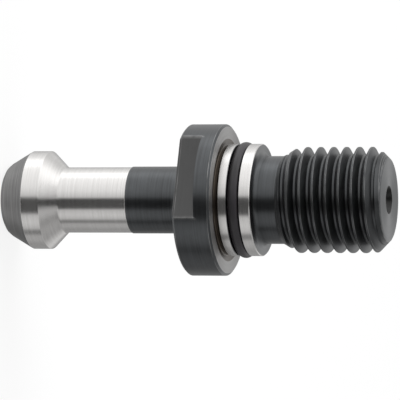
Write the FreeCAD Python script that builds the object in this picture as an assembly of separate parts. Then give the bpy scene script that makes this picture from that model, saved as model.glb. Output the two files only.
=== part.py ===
import FreeCAD, Part

import math
import os

# Pull stud (retention knob) for a number 40 taper tool holder.
#
# The stud stands on the flat end of its knob, thread upwards. The origin is the centre
# of that end, +Z runs up the stud's axis, and the wrench flats face -Y and +Y.
#
# Millimetres. D is a diameter, HEIGHT is measured up from the end of the knob, and
# angles are in degrees from the axis unless the name says otherwise.

# Whole stud
TOTAL_LENGTH = 60.0          # end of the knob to the end of the thread
GAUGE_HEIGHT = 35.0          # the ground face that seats on the tool holder

# Knob, which the drawbar's gripper pulls on
KNOB_D = 15.0
KNOB_EDGE_HEIGHT = 7.0       # where the gripping cone starts
KNOB_BAND = 2.7              # length of the ground cylinder below that edge
GRIP_ANGLE = 45.0
NOSE_ANGLE = 30.0            # cone that leads the knob into the gripper
NOSE_ROUND = 2.5             # radius between that cone and the flat end

# Neck: ground near the knob, black near the flange
NECK_D = 10.0
NECK_GROUND_HEIGHT = 20.0    # where the grinding stops
GRIND_DEPTH = 0.1            # stock that the grinding took off the radius
NECK_FILLET = 2.0            # radius between the neck and the flange

# Flange with two wrench flats
FLANGE_D = 23.0
FLANGE_THICK = 5.8
FLANGE_CHAMFER = 0.3
SEAT_CHAMFER = 0.4           # across the face, at the edge of the gauge face
FLATS_ACROSS = 18.8
FLATS_LENGTH = 3.4           # along the axis, from the underside of the flange

# Undercut in the corner of the gauge face and the pilot
UNDERCUT_REACH = 0.8         # out across the gauge face
UNDERCUT_DEPTH = 0.25
UNDERCUT_LENGTH = 0.6        # up the pilot

# Pilot, which centres the stud in the holder's bore, and its sealing ring
PILOT_D = 17.0
PILOT_LENGTH = 5.5           # up from the gauge face
PILOT_CHAMFER = 0.15
GROOVE_BASE = 1.9            # from the gauge face to the near wall of the ring's groove
GROOVE_D = 14.0
RING_SECTION = 1.78
RING_SIDE_ROOM = 0.12        # groove wider than the ring
RING_SEAT_ROOM = 0.02        # between the ring and the floor of its groove

# Relief between the pilot and the thread
RELIEF_D = 13.3
RELIEF_LENGTH = 3.4
RELIEF_FILLET = 1.0

# Thread M16 x 2, right-hand
THREAD_D = 16.0
THREAD_PITCH = 2.0
THREAD_FLANK = 30.0          # each flank, from a plane square to the axis
THREAD_LEAD_ANGLE = 30.0     # cone from the relief up to the crests
THREAD_END_CHAMFER = 1.75
THREAD_END_ANGLE = 111.5     # from +X round to where the groove leaves the end face

# Centre drillings, 60 degree cone, one in each end
CENTRE_MOUTH_D = 4.25
CENTRE_PILOT_D = 2.0
CENTRE_DEPTH = 3.9
CENTRE_ANGLE = 30.0
DRILL_POINT_ANGLE = 59.0
DRILL_CHISEL_D = 0.3         # flat that the drill's chisel edge leaves

# Rounds are made of short flats, which keeps the facets few
ROUND_STEP = 30.0            # angle each flat of a fillet or a nose turns through
RING_SIDES = 12              # sides of the sealing ring's section

# Worked out from the values above
flange_base = GAUGE_HEIGHT - FLANGE_THICK
pilot_top = GAUGE_HEIGHT + PILOT_LENGTH
groove_base = GAUGE_HEIGHT + GROOVE_BASE
groove_top = groove_base + RING_SECTION + RING_SIDE_ROOM
relief_top = pilot_top + RELIEF_LENGTH
neck_black_r = NECK_D / 2 + GRIND_DEPTH
thread_root_r = THREAD_D / 2 - 0.6134 * THREAD_PITCH


def slope(angle):
    """Change of radius for each millimetre along the axis, on a cone at that angle."""
    return math.tan(math.radians(angle))


def rounded_outline(corners):
    """Points of a closed outline in the XZ plane, with its rounded corners worked out.

    Each corner is (radius, height, rounding). A rounded corner becomes a chain of short
    sides whose ends lie on the arc, limited to what the shorter neighbour can carry.
    """
    places = [FreeCAD.Vector(corner[0], 0, corner[1]) for corner in corners]
    points = []
    for i, place in enumerate(places):
        rounding = corners[i][2]
        if rounding == 0:
            points.append(place)
            continue
        back = places[i - 1] - place
        ahead = places[(i + 1) % len(places)] - place
        half = back.getAngle(ahead) / 2
        reach = min(rounding / math.tan(half), 0.48 * back.Length, 0.48 * ahead.Length)
        radius = reach * math.tan(half)
        back.normalize()
        ahead.normalize()
        middle = back + ahead
        middle.normalize()
        centre = place + middle * (radius / math.sin(half))
        turn = math.pi / 2 - half
        steps = max(1, round(math.degrees(2 * turn) / ROUND_STEP))
        across = ahead - back
        across.normalize()
        for step in range(steps + 1):
            angle = turn * (2 * step / steps - 1)
            points.append(centre - middle * (radius * math.cos(angle))
                          + across * (radius * math.sin(angle)))
    return points


def turned(corners, start_angle=0):
    """Solid of revolution about the stud's axis from such an outline.

    start_angle turns the seam, where the revolved faces close, round from +X.
    """
    centre, axis = FreeCAD.Vector(0, 0, 0), FreeCAD.Vector(0, 0, 1)
    points = rounded_outline(corners)
    face = Part.Face(Part.makePolygon(points + points[:1]))
    face.rotate(centre, axis, start_angle)
    return face.revolve(centre, axis, 360)


def knob_corners():
    """The flat end, the nose cone, the ground band and the gripping cone."""
    knob_r = KNOB_D / 2
    nose_height = KNOB_EDGE_HEIGHT - KNOB_BAND
    end_r = knob_r - nose_height * slope(NOSE_ANGLE)
    neck_start = KNOB_EDGE_HEIGHT + (knob_r - NECK_D / 2) / slope(GRIP_ANGLE)
    return [
        (0, 0, 0),
        (end_r, 0, NOSE_ROUND),
        (knob_r, nose_height, 0),
        (knob_r, KNOB_EDGE_HEIGHT, 0),
        (NECK_D / 2, neck_start, 0),
    ]


def neck_and_flange_corners():
    """The neck with its ground step, and the flange up to the edge of the gauge face."""
    flange_r = FLANGE_D / 2
    return [
        (NECK_D / 2, NECK_GROUND_HEIGHT, 0),
        (neck_black_r, NECK_GROUND_HEIGHT + GRIND_DEPTH, 0),
        (neck_black_r, flange_base, NECK_FILLET),
        (flange_r - FLANGE_CHAMFER, flange_base, 0),
        (flange_r, flange_base + FLANGE_CHAMFER, 0),
        (flange_r, GAUGE_HEIGHT - FLANGE_CHAMFER, 0),
        (flange_r - SEAT_CHAMFER, GAUGE_HEIGHT, 0),
    ]


def pilot_corners():
    """The undercut, the two lands of the pilot and the groove between them."""
    pilot_r = PILOT_D / 2
    undercut_r = pilot_r - UNDERCUT_DEPTH
    return [
        (pilot_r + UNDERCUT_REACH, GAUGE_HEIGHT, 0),
        (undercut_r, GAUGE_HEIGHT - UNDERCUT_DEPTH, 0),
        (undercut_r, GAUGE_HEIGHT + UNDERCUT_LENGTH - UNDERCUT_DEPTH, 0),
        (pilot_r, GAUGE_HEIGHT + UNDERCUT_LENGTH, 0),
        (pilot_r, groove_base, 0),
        (GROOVE_D / 2, groove_base, 0),
        (GROOVE_D / 2, groove_top, 0),
        (pilot_r, groove_top, 0),
        (pilot_r, pilot_top - PILOT_CHAMFER, 0),
        (pilot_r - PILOT_CHAMFER, pilot_top, 0),
    ]


def shank_corners():
    """The relief and the blank of the thread, with its lead cone and end chamfer.

    The blank's wall has a corner at every pitch, counted down from the end, so that each
    piece of the crest winds round about once. A longer spiral closes badly on itself.
    """
    thread_r = THREAD_D / 2
    relief_r = RELIEF_D / 2
    lead_top = relief_top + (thread_r - relief_r) / slope(THREAD_LEAD_ANGLE)
    chamfer_base = TOTAL_LENGTH - THREAD_END_CHAMFER
    turns = math.floor((TOTAL_LENGTH - lead_top) / THREAD_PITCH)
    rings = [TOTAL_LENGTH - turn * THREAD_PITCH for turn in range(turns, 0, -1)]
    wall = [(thread_r, ring, 0) for ring in rings if lead_top < ring < chamfer_base]
    return [
        (relief_r, pilot_top, RELIEF_FILLET),
        (relief_r, relief_top, 0),
        (thread_r, lead_top, 0),
        *wall,
        (thread_r, chamfer_base, 0),
        (thread_r - THREAD_END_CHAMFER, TOTAL_LENGTH, 0),
        (0, TOTAL_LENGTH, 0),
    ]


def flat_cutter(side):
    """Block that mills one wrench flat; side is -1 for the flat facing -Y, 1 for +Y."""
    depth = (FLANGE_D - FLATS_ACROSS) / 2 + 1
    block = Part.makeBox(FLANGE_D, depth, FLATS_LENGTH + FLANGE_CHAMFER)
    near_y = FLATS_ACROSS / 2 if side > 0 else -FLATS_ACROSS / 2 - depth
    block.translate(FreeCAD.Vector(-FLANGE_D / 2, near_y, flange_base - FLANGE_CHAMFER))
    return block


def thread_cutter():
    """The thread's 60 degree groove, swept along a right-hand helix.

    It starts in the relief, clear of the metal, and leaves through the end face. Its
    section leaves a crest an eighth of the pitch wide, and reaches a little past the
    crests, by less than would make one turn run into the next.
    """
    low = relief_top - 0.6 * THREAD_PITCH
    length = TOTAL_LENGTH + THREAD_PITCH - low
    path = Part.makeLongHelix(THREAD_PITCH, length, thread_root_r, 0)

    past_crest = 0.06 * THREAD_PITCH
    mouth_r = THREAD_D / 2 + past_crest
    crest_gap = THREAD_PITCH * 7 / 8
    mouth_half = crest_gap / 2 + past_crest * slope(THREAD_FLANK)
    root_half = mouth_half - (mouth_r - thread_root_r) * slope(THREAD_FLANK)
    corners = [
        FreeCAD.Vector(thread_root_r, 0, -root_half),
        FreeCAD.Vector(mouth_r, 0, -mouth_half),
        FreeCAD.Vector(mouth_r, 0, mouth_half),
        FreeCAD.Vector(thread_root_r, 0, root_half),
    ]
    section = Part.makePolygon(corners + corners[:1])
    cutter = Part.Wire(path.Edges).makePipeShell([section], True, True)

    turns_to_end = (TOTAL_LENGTH - low) / THREAD_PITCH
    axis = FreeCAD.Vector(0, 0, 1)
    cutter.rotate(FreeCAD.Vector(0, 0, 0), axis, THREAD_END_ANGLE - 360 * turns_to_end)
    cutter.translate(axis * low)
    return cutter


def centre_cutter():
    """A centre drill's outline, point down, with its mouth at height 0."""
    mouth_r = CENTRE_MOUTH_D / 2
    pilot_r = CENTRE_PILOT_D / 2
    cone_depth = (mouth_r - pilot_r) / slope(CENTRE_ANGLE)
    chisel_r = DRILL_CHISEL_D / 2
    tip_depth = CENTRE_DEPTH + (pilot_r - chisel_r) / slope(DRILL_POINT_ANGLE)
    return turned([
        (0, 0, 0),
        (mouth_r, 0, 0),
        (pilot_r, -cone_depth, 0),
        (pilot_r, -CENTRE_DEPTH, 0),
        (chisel_r, -tip_depth, 0),
        (0, -tip_depth, 0),
    ])


def stud_body():
    """The turned, milled, threaded and drilled steel stud, one piece."""
    outline = knob_corners() + neck_and_flange_corners() + pilot_corners() + shank_corners()
    body = turned(outline, THREAD_END_ANGLE)
    for side in (-1, 1):
        body = body.cut(flat_cutter(side))

    top_centre = centre_cutter()
    top_centre.translate(FreeCAD.Vector(0, 0, TOTAL_LENGTH))
    bottom_centre = centre_cutter()
    bottom_centre.rotate(FreeCAD.Vector(0, 0, 0), FreeCAD.Vector(1, 0, 0), 180)
    body = body.cut(top_centre).cut(bottom_centre)
    return body.cut(thread_cutter())


def sealing_ring():
    """The rubber ring, seated on the floor of its groove and standing proud of the lands."""
    wire_r = RING_SECTION / 2
    middle_r = GROOVE_D / 2 + RING_SEAT_ROOM + wire_r
    middle_height = (groove_base + groove_top) / 2
    corners = []
    for side in range(RING_SIDES):
        angle = 2 * math.pi * side / RING_SIDES
        corners.append((middle_r + wire_r * math.cos(angle),
                        middle_height + wire_r * math.sin(angle), 0))
    return turned(corners)


def main():
    os.makedirs("parts", exist_ok=True)
    pieces = {"stud_body": stud_body(), "sealing_ring": sealing_ring()}
    for name, shape in pieces.items():
        solids = shape.Solids
        print(name, "solids", len(solids), "valid", shape.isValid(),
              "volume", round(shape.Volume, 2), "box", shape.BoundBox)
        shape.exportStep(f"parts/{name}.step")


main()
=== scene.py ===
# %% [markdown]
# # A pull stud for a milling machine
#
# A pull stud screws into the small end of a tool holder, and the machine's drawbar pulls
# on its knob. It is turned from one bar of steel, threaded, milled with two wrench flats,
# blackened, and then ground bright where it has to fit. A rubber ring seals its pilot.
#
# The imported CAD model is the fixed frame. Everything below is made around the same axis,
# in metres, with the stud standing on its knob.

import math

import bpy
import numpy as np
from mathutils import Matrix, Vector


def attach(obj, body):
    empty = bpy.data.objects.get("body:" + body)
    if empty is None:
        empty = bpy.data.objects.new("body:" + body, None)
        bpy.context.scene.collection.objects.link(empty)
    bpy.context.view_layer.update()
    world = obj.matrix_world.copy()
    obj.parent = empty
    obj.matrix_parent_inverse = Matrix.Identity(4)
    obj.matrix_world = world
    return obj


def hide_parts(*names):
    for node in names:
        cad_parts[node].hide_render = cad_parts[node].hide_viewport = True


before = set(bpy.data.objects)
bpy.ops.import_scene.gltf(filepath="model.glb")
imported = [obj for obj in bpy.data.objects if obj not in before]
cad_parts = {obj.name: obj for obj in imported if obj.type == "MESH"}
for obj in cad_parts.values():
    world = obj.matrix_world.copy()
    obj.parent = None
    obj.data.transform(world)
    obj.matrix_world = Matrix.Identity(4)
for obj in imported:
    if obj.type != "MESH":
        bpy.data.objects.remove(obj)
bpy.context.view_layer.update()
MM = 0.001
print("CAD nodes:", sorted(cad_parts))

# %% [markdown]
# ## The sizes
#
# A turned part is read off its drawing as heights along the axis and radii from it. Each
# size is written once here, in millimetres, and the surfaces below are worked out from
# these names, so one number can be changed without hunting for its copies.

# %% Sizes in millimetres
TOTAL, GAUGE = 60.0, 35.0
KNOB_R, KNOB_BAND_LOW, KNOB_EDGE = 7.5, 4.3, 7.0
NOSE_ANGLE, NOSE_ROUND = math.radians(30), 2.5
NECK_R, NECK_BLACK_R, NECK_BORDER, NECK_FILLET = 5.0, 5.1, 20.0, 2.0
FLANGE_R, FLANGE_LOW, FLANGE_CHAMFER, SEAT_CHAMFER = 11.5, 29.2, 0.3, 0.4
FLAT_HALF, FLAT_TOP = 9.4, 32.6
PILOT_R, PILOT_TOP, PILOT_CHAMFER = 8.5, 40.5, 0.15
UNDERCUT, UNDERCUT_REACH, UNDERCUT_LENGTH = 0.25, 0.8, 0.6
GROOVE_R, GROOVE_LOW, GROOVE_HIGH = 7.0, 36.9, 38.8
RING_WIRE_R, RING_SEAT_ROOM = 0.89, 0.02
RELIEF_R, RELIEF_TOP, RELIEF_FILLET = 6.65, 43.9, 1.0
THREAD_R, PITCH, THREAD_ROOT_R = 8.0, 2.0, 6.773
THREAD_FLANK, THREAD_LEAD = math.radians(30), math.radians(30)
THREAD_END_ANGLE = math.radians(111.5)
END_CHAMFER = 1.75
CENTRE_MOUTH_R, CENTRE_PILOT_R, CENTRE_DEPTH = 2.125, 1.0, 3.9
CENTRE_ANGLE, DRILL_ANGLE = math.radians(30), math.radians(59)
print("overall", 2 * FLANGE_R, "x", TOTAL, "mm")

# %% [markdown]
# ## Columns round the axis
#
# Every surface of the stud is a grid: rows along the outline and columns round the axis.
# If the columns were evenly spaced, the corners of the wrench flats would fall between two
# of them and look ragged. So each quarter is divided on its own: one column stands exactly
# on each corner of the flats, and the rest are shared out evenly between them.

# %% Columns round the axis
flat_reach = math.acos(FLAT_HALF / FLANGE_R)
stops = [-math.pi / 2 + flat_reach, math.pi / 2 - flat_reach,
         math.pi / 2 + flat_reach, 3 * math.pi / 2 - flat_reach,
         3 * math.pi / 2 + flat_reach]
BETWEEN_FLATS, ON_FLAT = 54, 36
counts = [BETWEEN_FLATS, ON_FLAT, BETWEEN_FLATS, ON_FLAT]
theta = np.concatenate([np.linspace(stops[i], stops[i + 1], counts[i], endpoint=False)
                        for i in range(4)])
COLUMNS = len(theta)
print(COLUMNS, "columns, first at", round(math.degrees(theta[0]), 2), "degrees")

# %% [markdown]
# ## An outline with rounded corners
#
# No real edge is perfectly sharp, and a small round is what catches the light. The outline
# is a list of corners, each with a radius for its round and a number for the finish of the
# side that follows it. One could round the edges later with a Bevel modifier, but working
# the arcs out in the outline keeps every round exactly where the lathe made it, and it
# lets each side know its own finish.

# %% Outline helper
EDGE_ROUND = 0.2  # a larger round is a fillet or a nose, and doesn't count as an edge


def outline_rows(corners, spacing=0.6, turn_step=math.radians(20), guard=0.025):
    """Rows along an outline of straight sides with rounded corners.

    A corner (r, z, rounding, finish) with a rounding becomes an arc tangent to both sides.
    In words: the half angle between the sides is h, the arc starts rounding / tan(h) from
    the corner, its centre is rounding / sin(h) along the bisector, and its points are
    spread evenly over the angle pi - 2h. A guard row just outside each arc keeps the
    smooth shading of the round off the long sides. Long sides are divided by spacing.
    Gives r and z of each row, the finish of each strip between two rows, and for each row
    1 where it lies on the small round of an outward edge and 0 elsewhere. An edge points
    outward where the outline, followed upwards, turns towards the axis.
    """
    places = np.array([corner[:2] for corner in corners], float)
    chain, finishes, edges = [], [], []
    last = len(corners) - 1
    for i, (place, corner) in enumerate(zip(places, corners)):
        rounding, finish = corner[2], corner[3]
        if rounding == 0 or i in (0, last):
            chain.append(place[None, :])
            finishes.append(finish)
            edges.append(np.zeros(1))
            continue
        back, ahead = places[i - 1] - place, places[i + 1] - place
        back_length, ahead_length = np.hypot(*back), np.hypot(*ahead)
        back, ahead = back / back_length, ahead / ahead_length
        half = math.acos(np.clip(back @ ahead, -1, 1)) / 2
        reach = min(rounding / math.tan(half), 0.45 * back_length, 0.45 * ahead_length)
        radius = reach * math.tan(half)
        middle = (back + ahead) / np.hypot(*(back + ahead))
        across = (ahead - back) / np.hypot(*(ahead - back))
        steps = max(2, math.ceil((math.pi - 2 * half) / turn_step))
        angle = np.linspace(-1, 1, steps + 1)[:, None] * (math.pi / 2 - half)
        arc = (place + middle * radius / math.sin(half)
               - middle * radius * np.cos(angle) + across * radius * np.sin(angle))
        edge = min(guard, 0.2 * reach + 0.01)
        chain.append(np.vstack([arc[0] + back * edge, arc, arc[-1] + ahead * edge]))
        finishes.append(finish)
        outward = ahead[0] * back[1] - ahead[1] * back[0] > 0
        on_edge = np.full(len(arc) + 2, float(outward and rounding < EDGE_ROUND))
        on_edge[[0, -1]] = 0
        edges.append(on_edge)
    rows, strip_finish, row_edge = [chain[0]], [], [edges[0]]
    for i in range(len(chain)):
        if i:
            start, end = chain[i - 1][-1], chain[i][0]
            pieces = max(1, math.ceil(np.hypot(*(end - start)) / spacing))
            share = np.linspace(0, 1, pieces + 1)[1:, None]
            rows.append(start + (end - start) * share)
            strip_finish += [finishes[i - 1]] * pieces
            row_edge += [np.zeros(pieces - 1), edges[i]]
            rows.append(chain[i][1:])
        strip_finish += [finishes[i]] * (len(chain[i]) - 1)
    rows = np.vstack(rows)
    return rows[:, 0], rows[:, 1], np.array(strip_finish), np.concatenate(row_edge)


square = outline_rows([(0, 0, 0, 0), (1, 0, 0.1, 0), (1, 1, 0, 0)])
print("a corner with a round gives", len(square[0]), "rows,",
      int(square[3].sum()), "of them on its edge")

# %% [markdown]
# ## The outline of the stud
#
# The finishes differ from side to side: bright ground steel on the knob's band, its
# gripping cone and the lower neck, on the gauge face and on the pilot's lands; black oxide
# on the rest; and a brown bloom in the undercut, where the grinding wheel ran out. Writing
# the finish beside each corner puts the border between bright and black exactly on an edge.
# The third number of a corner is its round: the real fillets, and a few hundredths of a
# millimetre on an edge that was only broken.

# %% The outline from the knob to the relief
OXIDE, GROUND, SEAT, LAND, BLOOM, THREAD, NOSE, HOLE, FLAT = range(9)

nose_foot_r = KNOB_R - KNOB_BAND_LOW * math.tan(NOSE_ANGLE)
grip_foot = KNOB_EDGE + KNOB_R - NECK_R
cone_depth = (CENTRE_MOUTH_R - CENTRE_PILOT_R) / math.tan(CENTRE_ANGLE)
tip_depth = CENTRE_DEPTH + CENTRE_PILOT_R / math.tan(DRILL_ANGLE)

stud_corners = [
    (0, tip_depth, 0, HOLE),
    (CENTRE_PILOT_R, CENTRE_DEPTH, 0.05, HOLE),
    (CENTRE_PILOT_R, cone_depth, 0.05, HOLE),
    (CENTRE_MOUTH_R, 0, 0.05, NOSE),
    (nose_foot_r, 0, NOSE_ROUND, NOSE),
    (KNOB_R, KNOB_BAND_LOW, 0.06, GROUND),
    (KNOB_R, KNOB_EDGE, 0.08, GROUND),
    (NECK_R, grip_foot, 0.5, GROUND),
    (NECK_R, NECK_BORDER, 0, GROUND),
    (NECK_BLACK_R, NECK_BORDER + NECK_BLACK_R - NECK_R, 0.03, OXIDE),
    (NECK_BLACK_R, FLANGE_LOW, NECK_FILLET, OXIDE),
    (FLANGE_R - FLANGE_CHAMFER, FLANGE_LOW, 0.08, OXIDE),
    (FLANGE_R, FLANGE_LOW + FLANGE_CHAMFER, 0.08, OXIDE),
    (FLANGE_R, FLAT_TOP, 0, OXIDE),
    (FLANGE_R, FLAT_TOP, 0, OXIDE),
    (FLANGE_R, GAUGE - FLANGE_CHAMFER, 0.1, OXIDE),
    (FLANGE_R - SEAT_CHAMFER, GAUGE, 0.06, SEAT),
    (PILOT_R + UNDERCUT_REACH, GAUGE, 0.06, BLOOM),
    (PILOT_R - UNDERCUT, GAUGE - UNDERCUT, 0.35, BLOOM),
    (PILOT_R - UNDERCUT, GAUGE + UNDERCUT_LENGTH - UNDERCUT, 0.1, BLOOM),
    (PILOT_R, GAUGE + UNDERCUT_LENGTH, 0.06, LAND),
    (PILOT_R, GROOVE_LOW, 0.07, OXIDE),
    (GROOVE_R, GROOVE_LOW, 0.1, OXIDE),
    (GROOVE_R, GROOVE_HIGH, 0.1, OXIDE),
    (PILOT_R, GROOVE_HIGH, 0.07, LAND),
    (PILOT_R, PILOT_TOP - PILOT_CHAMFER, 0.05, LAND),
    (PILOT_R - PILOT_CHAMFER, PILOT_TOP, 0.05, OXIDE),
    (RELIEF_R, PILOT_TOP, RELIEF_FILLET, OXIDE),
    (RELIEF_R, RELIEF_TOP, 0, THREAD),
]
body_r, body_z, body_finish, body_edge = outline_rows(stud_corners)
print(len(body_r), "rows from the knob's centre hole to the relief")

# %% [markdown]
# ## Turning the outline and milling the flats
#
# Turning is one line of trigonometry: each row is carried round the axis. Milling a flat
# off a grid needs no cutting tool either: where a point would stand beyond the flat's
# plane, it is drawn back to the plane along its radius. Rows above the flats are left
# alone, and two rows at the same height there, one cut and one whole, make the step.

# %% Turned surface with flats
def turned_points(radius, height, cut):
    """Grid of points, rows by columns, in metres.

    In words: x = r cos t and y = r sin t, where r is the row's radius. In rows that are
    cut, r is at most FLAT_HALF / |sin t|, which is the distance from the axis to the
    plane |y| = FLAT_HALF along that direction.
    """
    limit = FLAT_HALF / np.maximum(np.abs(np.sin(theta)), 1e-9)
    r = np.broadcast_to(radius[:, None], (len(radius), COLUMNS))
    r = np.where(cut[:, None], np.minimum(r, limit), r)
    z = np.broadcast_to(height[:, None], r.shape)
    return np.stack([r * np.cos(theta), r * np.sin(theta), z], axis=2) * MM


HAIR = 1e-9
first_whole = np.nonzero((body_z == FLAT_TOP) & (body_r == FLANGE_R))[0][-1]
body_cut = np.arange(len(body_r)) < first_whole
body_cut &= body_z >= FLANGE_LOW - HAIR
body_points = turned_points(body_r, body_z, body_cut)

drawn_back = body_cut[:, None] & (np.hypot(body_points[..., 0], body_points[..., 1])
                                  < body_r[:, None] * MM - HAIR)
strip_flat = drawn_back[:-1] & drawn_back[1:]
on_flat = strip_flat | np.roll(strip_flat, -1, axis=1)
body_finish = np.where(on_flat, FLAT, body_finish[:, None])
corner_columns = np.isin(theta, stops)
body_edges = np.where(body_cut[:, None] & corner_columns & (body_r > FLAT_HALF)[:, None],
                      1.0, body_edge[:, None])
print("cut rows:", int(body_cut.sum()), "faces on the flats:", int(on_flat.sum()))

# %% [markdown]
# ## The thread
#
# A thread is a groove that climbs one pitch each turn. If the grid's rows ran level, they
# would cross the crests at a slant and saw teeth would show along every edge. Here the rows
# climb with the thread instead, so each one stays on the same point of its section: the
# crest, the flank or the root. After one turn a row has climbed exactly one pitch, and it
# meets the row that started one pitch higher, which closes the surface on itself.
#
# The rows are stopped at a level ring at both ends, and the thread's radius is never more
# than the blank's, whose cones at the two ends cut the thread off as on the real screw.
# Its crests are flat and an eighth of the pitch wide.

# %% Thread surface
def blank_radius(z):
    """Radius of the unthreaded shank at height z, in words: the lowest of the lead cone,
    the outside diameter, and the 45 degree chamfer at the end."""
    lead = RELIEF_R + (z - RELIEF_TOP) * math.tan(THREAD_LEAD)
    end = THREAD_R - END_CHAMFER + (TOTAL - z)
    return np.minimum(np.minimum(lead, THREAD_R), end)


crest_half = PITCH / 16
root_half = PITCH / 2 - crest_half - (THREAD_R - THREAD_ROOT_R) * math.tan(THREAD_FLANK)
section = [
    (THREAD_ROOT_R, 0, 0, THREAD),
    (THREAD_ROOT_R, root_half, 0.16, THREAD),
    (THREAD_R, PITCH / 2 - crest_half, 0.05, THREAD),
    (THREAD_R, PITCH / 2 + crest_half, 0.05, THREAD),
    (THREAD_ROOT_R, PITCH - root_half, 0.16, THREAD),
    (THREAD_ROOT_R, PITCH, 0, THREAD),
]
section_r, section_t, _, section_edge = outline_rows(
    section, spacing=0.25, turn_step=math.radians(30), guard=0.02)
section_r, section_t, section_edge = section_r[:-1], section_t[:-1], section_edge[:-1]
ROWS_PER_PITCH = len(section_r)

END_RING = TOTAL - 0.05
groove_start = TOTAL - PITCH * THREAD_END_ANGLE / (2 * math.pi)
first_groove = groove_start - PITCH * (math.ceil((groove_start - RELIEF_TOP) / PITCH) + 1)
turns = math.ceil((TOTAL - first_groove) / PITCH)
row_r, row_edge = np.tile(section_r, turns), np.tile(section_edge, turns)
row_z = (first_groove + PITCH * np.arange(turns)[:, None] + section_t).ravel()
print(ROWS_PER_PITCH, "rows a pitch,", turns, "turns")


def thread_points():
    """Grid of points of the thread, in metres.

    In words: at angle t a row stands at its own height plus pitch * t / (2 pi), held
    between the two level rings. Its radius is that of its point in the section, or the
    blank's radius at that height where that is less.
    """
    z = row_z[:, None] + PITCH * theta / (2 * math.pi)
    z = np.clip(z, RELIEF_TOP, END_RING)
    r = np.minimum(row_r[:, None], blank_radius(z))
    return np.stack([r * np.cos(theta), r * np.sin(theta), z], axis=2) * MM


thread_grid = thread_points()
print("thread grid:", thread_grid.shape[0], "rows by", thread_grid.shape[1], "columns")

# %% [markdown]
# ## The end face and its centre hole
#
# The stud is ground between centres, so each end has a 60 degree centre hole. The end face
# is the last part of the outline, from the thread's level ring in to the axis.

# %% End face rows
end_corners = [
    (float(blank_radius(END_RING)), END_RING, 0, OXIDE),
    (THREAD_R - END_CHAMFER - 0.05, TOTAL, 0, OXIDE),
    (CENTRE_MOUTH_R, TOTAL, 0.05, HOLE),
    (CENTRE_PILOT_R, TOTAL - cone_depth, 0.05, HOLE),
    (CENTRE_PILOT_R, TOTAL - CENTRE_DEPTH, 0.05, HOLE),
    (0, TOTAL - tip_depth, 0, HOLE),
]
end_r, end_z, end_finish, end_edge = outline_rows(end_corners)
end_points = turned_points(end_r, end_z, np.zeros(len(end_r), bool))
print(len(end_r), "rows on the end face")

# %% [markdown]
# ## One closed mesh
#
# The three grids become one mesh, because the real stud is one piece. Each grid's faces
# are made from its table of vertex numbers. Where rows were drawn together, at the poles,
# at the flats and at the thread's end rings, points coincide. They are merged, a face that
# lost a corner becomes a triangle, and one that lost more is dropped.

# %% Grid to mesh
def grid_faces(numbers, finish):
    """Four corner numbers of each face of a grid, and its finish.

    In words: face (i, j) joins row i to row i + 1 and column j to column j + 1, taken
    counter-clockwise as seen from outside.
    """
    quads = np.stack([numbers[:-1, :-1], numbers[:-1, 1:],
                      numbers[1:, 1:], numbers[1:, :-1]], axis=2)
    return quads.reshape(-1, 4), np.broadcast_to(finish, quads.shape[:2]).reshape(-1)


def closed_table(first, rows):
    """Vertex numbers of a grid whose last column is its first one again."""
    table = first + np.arange(rows * COLUMNS).reshape(rows, COLUMNS)
    return np.hstack([table, table[:, :1]])


def merged(points, edge, quads, finish):
    """Merges equal points and drops what collapsed.

    In words: points that agree to a hundred-thousandth of a millimetre get one number and
    the highest of their edge values. A face with two equal neighbours loses one of them.
    """
    keys = np.round(points / MM, 5) + 0.0
    _, keep, number = np.unique(keys, axis=0, return_index=True, return_inverse=True)
    number = number.reshape(-1)
    kept_edge = np.zeros(len(keep))
    np.maximum.at(kept_edge, number, edge)
    quads = number[quads]
    same = quads == np.roll(quads, -1, axis=1)
    crossed = (quads[:, 0] == quads[:, 2]) | (quads[:, 1] == quads[:, 3])
    lost = same.sum(axis=1)
    whole = (lost == 0) & ~crossed
    three = (lost == 1) & ~crossed
    triangles = quads[three][~same[three]].reshape(-1, 3)
    faces = quads[whole].tolist() + triangles.tolist()
    return points[keep], kept_edge, faces, np.concatenate([finish[whole], finish[three]])


def smooth_mesh(name, points, faces, sharp_angle):
    """Mesh object from points and faces, smooth but for edges sharper than an angle."""
    mesh = bpy.data.meshes.new(name)
    mesh.from_pydata(points.tolist(), [], faces)
    mesh.validate()
    mesh.shade_smooth()
    mesh.set_sharp_from_angle(angle=sharp_angle)
    piece = bpy.data.objects.new(name, mesh)
    bpy.context.scene.collection.objects.link(piece)
    return piece


print("sides and section of the grid:", body_points.shape[:2], end_points.shape[:2])

# %% [markdown]
# ## Joining the three grids
#
# The last column of each grid is its first one again. In the thread it is the first column
# one pitch further up, because a row has climbed that far after one turn. Beside each point
# the mesh keeps whether it lies on an outward edge, for the worn edges and their painted
# highlight later on.

# %% The stud's mesh
STUD_SHARP, SMOOTH_SHARP = math.radians(27), math.radians(60)
thread_rows = len(row_r)
body_table = closed_table(0, len(body_r))
thread_table = closed_table(body_table.max() + 1, thread_rows)
end_table = closed_table(thread_table.max() + 1, len(end_r))

climbed = np.minimum(np.arange(thread_rows) + ROWS_PER_PITCH, thread_rows - 1)
thread_table[:, -1] = thread_table[climbed, 0]

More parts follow.
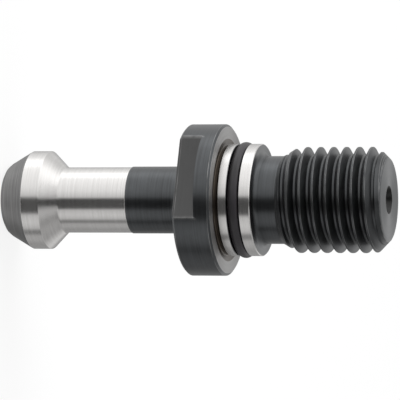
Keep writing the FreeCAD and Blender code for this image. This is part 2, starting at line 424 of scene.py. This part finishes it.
points = np.concatenate([grid.reshape(-1, 3)
                         for grid in (body_points, thread_grid, end_points)])
thread_edges = np.broadcast_to(row_edge[:, None], thread_grid.shape[:2]).copy()
thread_edges[thread_grid[..., 2] <= RELIEF_TOP * MM] = 0
end_edges = np.broadcast_to(end_edge[:, None], end_points.shape[:2])
edge = np.concatenate([grid.ravel() for grid in (body_edges, thread_edges, end_edges)])
parts = [grid_faces(body_table, body_finish),
         grid_faces(thread_table, np.full((thread_rows - 1, 1), THREAD)),
         grid_faces(end_table, end_finish[:, None])]
quads = np.concatenate([part[0] for part in parts])
finish = np.concatenate([part[1] for part in parts])
stud_points, stud_edge, stud_faces, stud_finish = merged(points, edge, quads, finish)
stud = smooth_mesh("pull_stud", stud_points, stud_faces, STUD_SHARP)
stud.data.attributes.new("edge", "FLOAT", "POINT").data.foreach_set("value", stud_edge)
triangles = sum(len(face) - 2 for face in stud_faces)
print("stud:", len(stud_points), "points,", triangles, "triangles")

# %% [markdown]
# ## The sealing ring
#
# The ring is moulded rubber, stretched into its groove. A plain torus would look machined.
# A real ring waves a little in its groove and is not equally fat all the way, so its
# section and its height are both slow, smooth functions of the angle.

# %% Sealing ring
def ring_points(steps_round=160, steps_section=28):
    """Grid of points of the rubber ring, in metres.

    In words: a torus, middle radius plus wire radius times (cos s, sin s). Its height has
    slow waves of up to 0.036 mm added and its wire radius about a hundredth of itself, each
    a cosine of the angle times a whole number, so that the ends meet. The wire starts a
    little thin, so that no wave reaches the floor of the groove.
    """
    t = np.linspace(0, 2 * math.pi, steps_round, endpoint=False)[:, None]
    s = np.linspace(0, 2 * math.pi, steps_section, endpoint=False)[None, :]
    lift = 0.022 * np.cos(3 * t + 0.7) + 0.014 * np.cos(7 * t + 2.0)
    wire = RING_WIRE_R * (1 - 0.012 + 0.006 * np.cos(2 * t) + 0.005 * np.cos(11 * t + 1.0))
    middle_r = GROOVE_R + RING_SEAT_ROOM + RING_WIRE_R
    middle_z = (GROOVE_LOW + GROOVE_HIGH) / 2
    r = middle_r + wire * np.cos(s)
    z = middle_z + lift + wire * np.sin(s)
    return np.stack([r * np.cos(t), r * np.sin(t), z], axis=2) * MM


ring_grid = ring_points()
wrapped = np.arange(ring_grid.shape[0] * ring_grid.shape[1]).reshape(ring_grid.shape[:2])
wrapped = np.pad(wrapped, ((0, 1), (0, 1)), mode="wrap")
ring_quads = np.stack([wrapped[:-1, :-1], wrapped[1:, :-1],
                       wrapped[1:, 1:], wrapped[:-1, 1:]], axis=2).reshape(-1, 4)
ring = smooth_mesh("rubber_ring", ring_grid.reshape(-1, 3), ring_quads.tolist(), SMOOTH_SHARP)
print("ring:", len(ring_quads) * 2, "triangles")

# %% [markdown]
# ## Finishes shared by the steel: turning marks
#
# A turned or ground surface carries fine marks that run round the axis. They could be an
# image, but a noise squeezed along the outline does the same with no seam: its pattern
# changes quickly from one height or radius to the next, and only slowly round the axis.
# Several finishes use it, so it is a node group with its own inputs.

# %% Node helpers
def add_node(tree, kind, **settings):
    """Adds a node. A setting that names one of its properties sets that property."""
    node = tree.nodes.new(kind)
    for name, value in settings.items():
        setattr(node, name, value)
    return node


def wire(tree, source, target):
    """Links an output socket to an input socket."""
    tree.links.new(source, target)


def math_node(tree, operation, first, second=None, clamp=False):
    """A Math node; each of its inputs is a socket or a number. Gives its output."""
    node = add_node(tree, "ShaderNodeMath", operation=operation, use_clamp=clamp)
    for place, value in ((0, first), (1, second)):
        if value is None:
            continue
        if isinstance(value, (int, float)):
            node.inputs[place].default_value = value
        else:
            wire(tree, value, node.inputs[place])
    return node.outputs[0]


def new_group(name, inputs, outputs):
    """An empty shader node group with named float or vector sockets.

    inputs are (name, kind, value) and outputs are (name, kind).
    Gives the group and its input and output nodes.
    """
    group = bpy.data.node_groups.new(name, "ShaderNodeTree")
    for label, kind, value in inputs:
        socket = group.interface.new_socket(label, in_out="INPUT", socket_type=kind)
        if value is not None:
            socket.default_value = value
    for label, kind in outputs:
        group.interface.new_socket(label, in_out="OUTPUT", socket_type=kind)
    return group, group.nodes.new("NodeGroupInput"), group.nodes.new("NodeGroupOutput")


def stretched_noise(tree, place, detail):
    """Noise at a place that is already scaled. Gives its output; detail may be a socket."""
    noise = add_node(tree, "ShaderNodeTexNoise")
    noise.inputs["Scale"].default_value = 1.0
    wire(tree, place, noise.inputs["Vector"])
    if isinstance(detail, float):
        noise.inputs["Detail"].default_value = detail
    else:
        wire(tree, detail, noise.inputs["Detail"])
    return noise.outputs["Fac"]


print("node helpers ready")

# %% [markdown]
# The position is squeezed along the axis and, by a smaller share, along the radius, so that
# a level face such as the gauge face gets rings too.

# %% Turning marks group
RADIUS_SHARE = 0.37
FLOAT, VECTOR = "NodeSocketFloat", "NodeSocketVector"
marks_group, marks_in, marks_out = new_group(
    "turning_marks",
    [("Position", VECTOR, None), ("Marks per metre", FLOAT, 5000.0),
     ("Wander", FLOAT, 120.0), ("Detail", FLOAT, 3.0)],
    [("Marks", FLOAT)])
axes = add_node(marks_group, "ShaderNodeSeparateXYZ")
wire(marks_group, marks_in.outputs["Position"], axes.inputs[0])
across = math_node(marks_group, "ADD",
                   math_node(marks_group, "MULTIPLY", axes.outputs["X"], axes.outputs["X"]),
                   math_node(marks_group, "MULTIPLY", axes.outputs["Y"], axes.outputs["Y"]))
radius = math_node(marks_group, "SQRT", across)
along = math_node(marks_group, "ADD", axes.outputs["Z"],
                  math_node(marks_group, "MULTIPLY", radius, RADIUS_SHARE))
squeezed = add_node(marks_group, "ShaderNodeCombineXYZ")
for name in ("X", "Y"):
    wire(marks_group, math_node(marks_group, "MULTIPLY", axes.outputs[name],
                                marks_in.outputs["Wander"]), squeezed.inputs[name])
wire(marks_group, math_node(marks_group, "MULTIPLY", along,
                            marks_in.outputs["Marks per metre"]), squeezed.inputs["Z"])
wire(marks_group, stretched_noise(marks_group, squeezed.outputs[0], marks_in.outputs["Detail"]),
     marks_out.inputs["Marks"])
print("node group:", marks_group.name)

# %% [markdown]
# ## Finishes shared by the steel: worn edges with a painted highlight, and clouds
#
# Handling rubs the oxide off edges first, and the lighter colour on the edges is also a
# painted highlight, standing in for the thin lines of light that rounded edges catch. Cycles
# can guess edges from the mesh, which it calls Pointiness, but it is confused by small
# triangles. The outline already knows which of its rows lie on an outward edge, so the mesh
# carries that as an attribute. Broken up by noise, it says where bare metal and the painted
# edge highlight show. The clouds are a slow noise for the uneven depth of a chemical finish.

# %% Edge wear with painted highlight, and cloud groups
# Where the mesh marks an outward edge, the finish turns lighter: rubbed oxide, and at the same
# time a painted highlight along the edge.
wear_and_highlight_group, wear_and_highlight_in, wear_and_highlight_out = new_group(
    "edge_wear_and_highlight",
    [("Position", VECTOR, None), ("Bare", FLOAT, 0.7)],
    [("Wear and highlight", FLOAT)])
edge_value = add_node(wear_and_highlight_group, "ShaderNodeAttribute", attribute_name="edge")
chips = add_node(wear_and_highlight_group, "ShaderNodeTexNoise")
chips.inputs["Scale"].default_value = 500.0
chips.inputs["Detail"].default_value = 4.0
wire(wear_and_highlight_group, wear_and_highlight_in.outputs["Position"], chips.inputs["Vector"])
chip_ramp = add_node(wear_and_highlight_group, "ShaderNodeMapRange", clamp=True)
wire(wear_and_highlight_group, chips.outputs["Fac"], chip_ramp.inputs["Value"])
chip_ramp.inputs["From Min"].default_value = 0.30
chip_ramp.inputs["From Max"].default_value = 0.60
share = math_node(wear_and_highlight_group, "MULTIPLY", chip_ramp.outputs[0], wear_and_highlight_in.outputs["Bare"])
wire(wear_and_highlight_group, math_node(wear_and_highlight_group, "MULTIPLY", share, edge_value.outputs["Fac"],
                           clamp=True), wear_and_highlight_out.inputs["Wear and highlight"])

cloud_group, cloud_in, cloud_out = new_group(
    "finish_clouds",
    [("Position", VECTOR, None), ("Scale", FLOAT, 160.0)],
    [("Clouds", FLOAT)])
clouds = add_node(cloud_group, "ShaderNodeTexNoise")
clouds.inputs["Detail"].default_value = 5.0
clouds.inputs["Roughness"].default_value = 0.6
wire(cloud_group, cloud_in.outputs["Position"], clouds.inputs["Vector"])
wire(cloud_group, cloud_in.outputs["Scale"], clouds.inputs["Scale"])
wire(cloud_group, clouds.outputs["Fac"], cloud_out.inputs["Clouds"])
print("node groups:", wear_and_highlight_group.name, cloud_group.name)

# %% [markdown]
# ## The steel finishes
#
# Bright or black, each finish is a metal: the oxide is so thin and smooth that it mirrors
# its surroundings, only dimly. What tells them apart is how much they reflect, how rough
# they are, and how coarse their marks are. The marks spread a highlight across themselves
# but hardly along themselves, which is what Anisotropic does, so a turned cylinder shows
# long, clean stripes of light and dark from end to end.

# %% Steel finish builder
def use_group(tree, group, position, **values):
    """Places a shared group, reads it at a position and sets its values by input name."""
    node = add_node(tree, "ShaderNodeGroup", node_tree=group)
    wire(tree, position, node.inputs["Position"])
    for name, value in values.items():
        node.inputs[name.replace("_", " ")].default_value = value
    return node.outputs[0]


def mixed_colour(tree, mask, low, high):
    """Mix Color node between two colours or sockets, by a mask. Gives its output."""
    node = add_node(tree, "ShaderNodeMix", data_type="RGBA")
    wire(tree, mask, node.inputs["Factor"])
    for name, value in (("A", low), ("B", high)):
        socket = next(s for s in node.inputs if s.name == name and s.type == "RGBA")
        if isinstance(value, tuple):
            socket.default_value = (*value, 1)
        else:
            wire(tree, value, socket)
    return next(s for s in node.outputs if s.type == "RGBA")


def mapped(tree, value, low, high, to_low=0.0, to_high=1.0):
    """Map Range node from low..high to to_low..to_high, held at its ends."""
    node = add_node(tree, "ShaderNodeMapRange", clamp=True)
    wire(tree, value, node.inputs["Value"])
    node.inputs["From Min"].default_value = low
    node.inputs["From Max"].default_value = high
    node.inputs["To Min"].default_value = to_low
    node.inputs["To Max"].default_value = to_high
    return node.outputs[0]


def new_metal(name):
    """A metal material. Gives it with its tree, its shader and the object's position."""
    material = bpy.data.materials.new(name)
    material.use_nodes = True
    tree = material.node_tree
    shader = tree.nodes["Principled BSDF"]
    shader.inputs["Metallic"].default_value = 1.0
    return material, tree, shader, add_node(tree, "ShaderNodeTexCoord").outputs["Object"]


def coat_steel(tree, shader, position, lines, dark, light, worn_and_highlight, depth, roughness,
               bare, cloud_share):
    """Colour, roughness and bump of a steel finish, from its marks.

    lines is the socket with the marks. dark and light are the colours between which marks
    and clouds move, the third colour is that of rubbed edges and of the painted highlight on
    them, depth is the height of the marks in metres, roughness its lowest and highest value,
    bare how far the edges are rubbed and painted lighter, and cloud_share how much of the
    tone is cloud and not marks.
    """
    cloud = use_group(tree, cloud_group, position)
    worn_and_highlight_mask = use_group(tree, wear_and_highlight_group, position, Bare=bare)
    line_part = math_node(tree, "MULTIPLY", mapped(tree, lines, 0.3, 0.7), 1 - cloud_share)
    cloud_part = math_node(tree, "MULTIPLY", mapped(tree, cloud, 0.3, 0.7), cloud_share)
    tone = math_node(tree, "ADD", line_part, cloud_part)
    finish_colour = mixed_colour(tree, tone, dark, light)
    # Edges take the lighter edge colour: rubbed metal and a painted highlight.
    wire(tree, mixed_colour(tree, worn_and_highlight_mask, finish_colour, worn_and_highlight), shader.inputs["Base Color"])
    wire(tree, mapped(tree, tone, 0, 1, *roughness), shader.inputs["Roughness"])
    bump = add_node(tree, "ShaderNodeBump")
    bump.inputs["Distance"].default_value = depth
    wire(tree, lines, bump.inputs["Height"])
    wire(tree, bump.outputs[0], shader.inputs["Normal"])


def steel_finish(name, dark, light, worn_and_highlight, marks, depth, roughness, stretch,
                 bare=0.6, cloud_share=0.5):
    """A steel finish whose marks run round the axis.

    marks is their number in a metre, and stretch how anisotropic the shine is.
    """
    material, tree, shader, position = new_metal(name)
    lines = use_group(tree, marks_group, position, Marks_per_metre=marks)
    coat_steel(tree, shader, position, lines, dark, light, worn_and_highlight, depth, roughness,
               bare, cloud_share)
    shader.inputs["Anisotropic"].default_value = stretch
    shader.inputs["Anisotropic Rotation"].default_value = 0.25
    around = add_node(tree, "ShaderNodeTangent", direction_type="RADIAL", axis="Z")
    wire(tree, around.outputs[0], shader.inputs["Tangent"])
    return material


print("shared groups:", [group.name for group in bpy.data.node_groups])

# %% [markdown]
# ## One finish for each kind of surface
#
# The bright finishes differ little: the lands have the finest marks and the sharpest shine.
# The gauge face is darker and rougher, and the undercut beside it is brown. The nose's oxide
# is coarser and painted a lighter grey than the neck's black, a painted highlight of its
# rounded surface, and the centre holes are painted nearly black, a painted shade in the
# recess. All of them are one builder with other numbers, so they stay alike, as finishes on
# one bar are.

# %% The finishes of the stud
def grey(level, warmth=0.0):
    """A neutral colour, a little warmer or, with a negative warmth, a little bluer."""
    return (level * (1 + warmth), level, level * (1 - warmth))


# Edge colours: rubbed metal, and a painted highlight along the edges and the thread's crests.
oxide_worn_and_highlight, bright_worn_and_highlight = grey(0.30), grey(0.72, 0.01)
finishes = [None] * FLAT
finishes[OXIDE] = steel_finish(
    "black_oxide", grey(0.064, -0.03), grey(0.109, -0.05), oxide_worn_and_highlight,
    marks=5200, depth=1.2e-6, roughness=(0.28, 0.38), stretch=0.7)
finishes[GROUND] = steel_finish(
    "ground_steel", grey(0.56, 0.02), grey(0.68, 0.015), bright_worn_and_highlight,
    marks=7000, depth=5e-7, roughness=(0.20, 0.28), stretch=0.85, cloud_share=0.4)
finishes[SEAT] = steel_finish(
    "gauge_face", grey(0.20, 0.02), grey(0.34, 0.01), grey(0.6),
    marks=6000, depth=8e-7, roughness=(0.34, 0.44), stretch=0.85, cloud_share=0.4)
finishes[LAND] = steel_finish(
    "pilot_land", grey(0.58, 0.02), grey(0.70, 0.015), bright_worn_and_highlight,
    marks=8000, depth=5e-7, roughness=(0.19, 0.27), stretch=0.8, cloud_share=0.4)
finishes[BLOOM] = steel_finish(
    "undercut_bloom", (0.045, 0.038, 0.032), (0.11, 0.092, 0.075), (0.30, 0.27, 0.24),
    marks=5000, depth=1.2e-6, roughness=(0.32, 0.44), stretch=0.6)
finishes[THREAD] = steel_finish(
    "threaded_oxide", grey(0.048, -0.02), grey(0.095, -0.04), oxide_worn_and_highlight,
    marks=6500, depth=1.2e-6, roughness=(0.30, 0.42), stretch=0.5)
# The nose's oxide is painted a lighter grey than the rest: a painted highlight of its rounded
# surface. Its coarser marks are from turning.
finishes[NOSE] = steel_finish(
    "nose_oxide_painted_highlight", grey(0.115, 0.005), grey(0.25, 0.01), oxide_worn_and_highlight,
    marks=5200, depth=2.2e-6, roughness=(0.34, 0.44), stretch=0.6, cloud_share=0.3)
# The centre holes are painted nearly black, darker than the other oxide: painted shade in the
# recess.
finishes[HOLE] = steel_finish(
    "centre_hole_oxide_painted_shade", grey(0.025), grey(0.05), oxide_worn_and_highlight,
    marks=6000, depth=1.2e-6, roughness=(0.34, 0.46), stretch=0.4)

for material in finishes:
    stud.data.materials.append(material)
print([material.name for material in finishes])

# %% [markdown]
# ## The milled flats
#
# The flats were milled, so nothing on them runs round the axis. The cutter left fine,
# nearly straight marks along the flange, and the oxide lies evenly over them. The same
# builder would give rings, so this finish squeezes its noise along one direction instead.

# %% Milled flat
MILL_SQUEEZE = (150.0, 150.0, 4200.0)
milled, milled_tree, milled_shader, milled_place = new_metal("milled_flat_oxide")
milled_squeeze = add_node(milled_tree, "ShaderNodeMapping", vector_type="POINT")
milled_squeeze.inputs["Scale"].default_value = MILL_SQUEEZE
wire(milled_tree, milled_place, milled_squeeze.inputs["Vector"])
milled_lines = stretched_noise(milled_tree, milled_squeeze.outputs[0], 2.0)
coat_steel(milled_tree, milled_shader, milled_place, milled_lines,
           grey(0.067), grey(0.083), oxide_worn_and_highlight, depth=4e-7, roughness=(0.36, 0.42),
           bare=0.5, cloud_share=0.6)
stud.data.materials.append(milled)
stud.data.polygons.foreach_set("material_index", stud_finish.astype(np.int32))
print("faces for each finish:", np.bincount(stud_finish).tolist())

# %% [markdown]
# ## Rubber
#
# Nitrile rubber is nearly black and is not a metal. It has a soft, greyish shine, and its
# skin is a little uneven from the mould and from the oil it is fitted with.

# %% Rubber finish
rubber = bpy.data.materials.new("nitrile_rubber")
rubber.use_nodes = True
rubber_tree = rubber.node_tree
rubber_shader = rubber_tree.nodes["Principled BSDF"]
rubber_place = add_node(rubber_tree, "ShaderNodeTexCoord").outputs["Object"]
skin = use_group(rubber_tree, cloud_group, rubber_place, Scale=700.0)
film = use_group(rubber_tree, cloud_group, rubber_place, Scale=130.0)
RUBBER_DARK, RUBBER_LIGHT = (0.010, 0.009, 0.010), (0.022, 0.019, 0.023)
wire(rubber_tree, mixed_colour(rubber_tree, mapped(rubber_tree, film, 0.35, 0.65),
                               RUBBER_DARK, RUBBER_LIGHT),
     rubber_shader.inputs["Base Color"])
wire(rubber_tree, mapped(rubber_tree, film, 0.3, 0.7, 0.36, 0.52),
     rubber_shader.inputs["Roughness"])
skin_bump = add_node(rubber_tree, "ShaderNodeBump")
skin_bump.inputs["Distance"].default_value = 6e-6
wire(rubber_tree, skin, skin_bump.inputs["Height"])
wire(rubber_tree, skin_bump.outputs[0], rubber_shader.inputs["Normal"])
ring.data.materials.append(rubber)
print("finish:", rubber.name)

# %% [markdown]
# ## The pieces and the frame
#
# Each new piece rides on the part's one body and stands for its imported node.

# %% Ride and replace
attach(stud, "root")
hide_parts("stud_body")
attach(ring, "root")
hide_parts("sealing_ring")
print("pieces:", stud.name, ring.name)

# %% [markdown]
# ## The camera
#
# A long lens from well back keeps the perspective flat, as a catalogue picture has it. The
# camera stands to one side and a little above, and is rolled so that the stud's axis lies
# across the picture with the thread to the right.

# %% Camera
CAMERA_TURN, CAMERA_RISE = math.radians(21.5), math.radians(15.5)
CAMERA_DISTANCE, VIEW_ANGLE = 0.65, math.radians(5.355)
aim = Vector((0, 0, 0.03054))
towards_camera = Vector((math.sin(CAMERA_TURN) * math.cos(CAMERA_RISE),
                         -math.cos(CAMERA_TURN) * math.cos(CAMERA_RISE),
                         math.sin(CAMERA_RISE)))
picture_right = (Vector((0, 0, 1)) - towards_camera * towards_camera.z).normalized()
picture_up = towards_camera.cross(picture_right)
camera = bpy.data.objects.new("camera", bpy.data.cameras.new("camera"))
camera.data.angle = VIEW_ANGLE
camera.data.clip_start = 0.01
turn = Matrix((picture_right, picture_up, towards_camera)).transposed().to_4x4()
camera.matrix_world = Matrix.Translation(aim + towards_camera * CAMERA_DISTANCE) @ turn
bpy.context.scene.collection.objects.link(camera)
bpy.context.scene.camera = camera
print("lens", round(camera.data.lens), "mm at", CAMERA_DISTANCE, "m")

# %% [markdown]
# ## Floor
#
# The floor is a plain disc. To the camera it is mostly white glow, and the rest of its
# material is an ordinary matte surface, so it keeps a faint shadow of the stud. It is left
# out of reflections, where the ring of tones below takes its place.

# %% Floor
FLOOR_SIDES, FLOOR_R, GLOW_SHARE = 96, 4.0, 0.85


def disc_points(radius, height, steps):
    """Points of a disc: the centre, then a circle of points (r cos t, r sin t)."""
    t = np.linspace(0, 2 * math.pi, steps, endpoint=False)
    rim = np.stack([radius * np.cos(t), radius * np.sin(t), np.full(steps, height)], axis=1)
    return np.vstack([[0, 0, height], rim])


rim_numbers = np.arange(1, FLOOR_SIDES + 1)
disc_faces = np.stack([np.zeros(FLOOR_SIDES, int), rim_numbers, np.roll(rim_numbers, -1)],
                      axis=1)
floor = smooth_mesh("floor", disc_points(FLOOR_R, 0.0, FLOOR_SIDES), disc_faces.tolist(),
                    SMOOTH_SHARP)
floor_material = bpy.data.materials.new("floor_white")
floor_material.use_nodes = True
floor_tree = floor_material.node_tree
floor_shader = floor_tree.nodes["Principled BSDF"]
floor_shader.inputs["Base Color"].default_value = (0.8, 0.8, 0.8, 1)
floor_shader.inputs["Roughness"].default_value = 0.9
floor_glow = add_node(floor_tree, "ShaderNodeEmission")
floor_mix = add_node(floor_tree, "ShaderNodeMixShader")
rays = add_node(floor_tree, "ShaderNodeLightPath")
seen = math_node(floor_tree, "MAXIMUM", rays.outputs["Is Camera Ray"],
                 math_node(floor_tree, "MAXIMUM", rays.outputs["Is Glossy Ray"],
                           rays.outputs["Is Transmission Ray"]))
wire(floor_tree, math_node(floor_tree, "MULTIPLY", seen, GLOW_SHARE), floor_mix.inputs[0])
wire(floor_tree, floor_shader.outputs[0], floor_mix.inputs[1])
wire(floor_tree, floor_glow.outputs[0], floor_mix.inputs[2])
wire(floor_tree, floor_mix.outputs[0], floor_tree.nodes["Material Output"].inputs[0])
floor.data.materials.append(floor_material)
floor.visible_glossy = False
print("floor:", len(disc_faces), "faces")

# %% [markdown]
# ## What the steel reflects
#
# Polished metal has hardly any look of its own: it shows its surroundings. A photographer
# therefore stands cards round it, white for the bright stripes and black for the dark ones.
# Cards could be built as meshes, but those close to the stud shift in its reflection from
# one part to the next. Here they are part of the world and infinitely far away: a ring of
# tones that depends only on the direction. Only reflections see it. The camera sees white,
# and matte surfaces get an even grey light. The tones were chosen for the camera's side of
# the stud, and they average about three quarters of white.

# %% World
# Degrees round from the camera, upwards in the picture positive, and the brightness there.
CARD_TONES = [
    (-180, 0.34), (-125, 0.40), (-108, 0.52), (-93, 0.52), (-86, 0.26), (-78, 0.26),
    (-71, 0.66), (-55, 0.80), (-36, 0.68), (-29, 0.10), (3, 0.08), (10, 0.78),
    (33, 1.12), (80, 1.42), (92, 1.85), (105, 1.85), (118, 1.25), (150, 0.75), (180, 0.34),
]
BRIGHTEST = 2.0
TONE_ABOVE_BEHIND = 0.85
TONE_BELOW = 1.0
AIR_TONE = 0.45
# Where those two tones fade in, as parts of the direction's length.
BEHIND_FADE, ABOVE_FADE, BELOW_FADE = (-0.45, -0.85), (0.0, 0.18), (-0.75, -0.93)

world = bpy.data.worlds.new("studio")
world.use_nodes = True
world.cycles.sampling_method = "NONE"
bpy.context.scene.world = world
world_tree = world.node_tree
air = world_tree.nodes["Background"]
air.inputs["Color"].default_value = (AIR_TONE,) * 3 + (1,)
direction = add_node(world_tree, "ShaderNodeTexCoord").outputs["Generated"]
facing = add_node(world_tree, "ShaderNodeMapping", vector_type="POINT")
facing.inputs["Rotation"].default_value[2] = math.pi / 2 - CAMERA_TURN
wire(world_tree, direction, facing.inputs["Vector"])
split = add_node(world_tree, "ShaderNodeSeparateXYZ")
wire(world_tree, facing.outputs[0], split.inputs[0])
bearing = math_node(world_tree, "ARCTAN2", split.outputs["Y"], split.outputs["X"])
ring_tones = add_node(world_tree, "ShaderNodeValToRGB")
wire(world_tree, mapped(world_tree, bearing, math.pi, -math.pi), ring_tones.inputs[0])
elements = ring_tones.color_ramp.elements
while len(elements) < len(CARD_TONES):
    elements.new(0.5)
for element, (degrees, tone) in zip(elements, CARD_TONES):
    element.position = (degrees + 180) / 360
    element.color = (tone / BRIGHTEST,) * 3 + (1,)

behind = mapped(world_tree, split.outputs["X"], *BEHIND_FADE)
above = mapped(world_tree, split.outputs["Z"], *ABOVE_FADE)
below = mapped(world_tree, split.outputs["Z"], *BELOW_FADE)
level_back = (TONE_ABOVE_BEHIND / BRIGHTEST,) * 3
level_below = (TONE_BELOW / BRIGHTEST,) * 3
tones = mixed_colour(world_tree, math_node(world_tree, "MULTIPLY", behind, above),
                     ring_tones.outputs["Color"], level_back)
tones = mixed_colour(world_tree, below, tones, level_below)
cards = add_node(world_tree, "ShaderNodeBackground")
cards.inputs["Strength"].default_value = BRIGHTEST
wire(world_tree, tones, cards.inputs["Color"])
white = add_node(world_tree, "ShaderNodeBackground")
white.inputs["Color"].default_value = (1, 1, 1, 1)
world_rays = add_node(world_tree, "ShaderNodeLightPath")
for_gloss = add_node(world_tree, "ShaderNodeMixShader")
wire(world_tree, world_rays.outputs["Is Glossy Ray"], for_gloss.inputs[0])
wire(world_tree, air.outputs[0], for_gloss.inputs[1])
wire(world_tree, cards.outputs[0], for_gloss.inputs[2])
for_camera = add_node(world_tree, "ShaderNodeMixShader")
wire(world_tree, world_rays.outputs["Is Camera Ray"], for_camera.inputs[0])
wire(world_tree, for_gloss.outputs[0], for_camera.inputs[1])
wire(world_tree, white.outputs[0], for_camera.inputs[2])
wire(world_tree, for_camera.outputs[0], world_tree.nodes["World Output"].inputs[0])
print("world:", len(CARD_TONES), "tones")

# %% [markdown]
# ## Lamps
#
# Two large soft lamps light what is matte: the rubber and the floor. The steel takes its
# stripes from the ring of tones, so the lamps stay out of its reflections.

# %% Lamps
def soft_lamp(name, bearing_degrees, rise_degrees, distance, size, watts):
    """A square area lamp aimed at the stud. Bearing is counted as on the cards."""
    bearing = CAMERA_TURN - math.radians(90 + bearing_degrees)
    rise = math.radians(rise_degrees)
    direction = Vector((math.cos(bearing) * math.cos(rise),
                        math.sin(bearing) * math.cos(rise), math.sin(rise)))
    lamp = bpy.data.lights.new(name, "AREA")
    lamp.shape, lamp.size, lamp.energy = "SQUARE", size, watts
    holder = bpy.data.objects.new(name, lamp)
    holder.location = aim + direction * distance
    holder.rotation_euler = direction.to_track_quat("Z", "Y").to_euler()
    holder.visible_glossy = False
    bpy.context.scene.collection.objects.link(holder)
    return holder


soft_lamp("key_lamp", 95, 50, 0.8, 0.6, 7.0)
soft_lamp("fill_lamp", -100, 55, 0.9, 0.6, 2.5)
bpy.context.scene.view_settings.view_transform = "Standard"
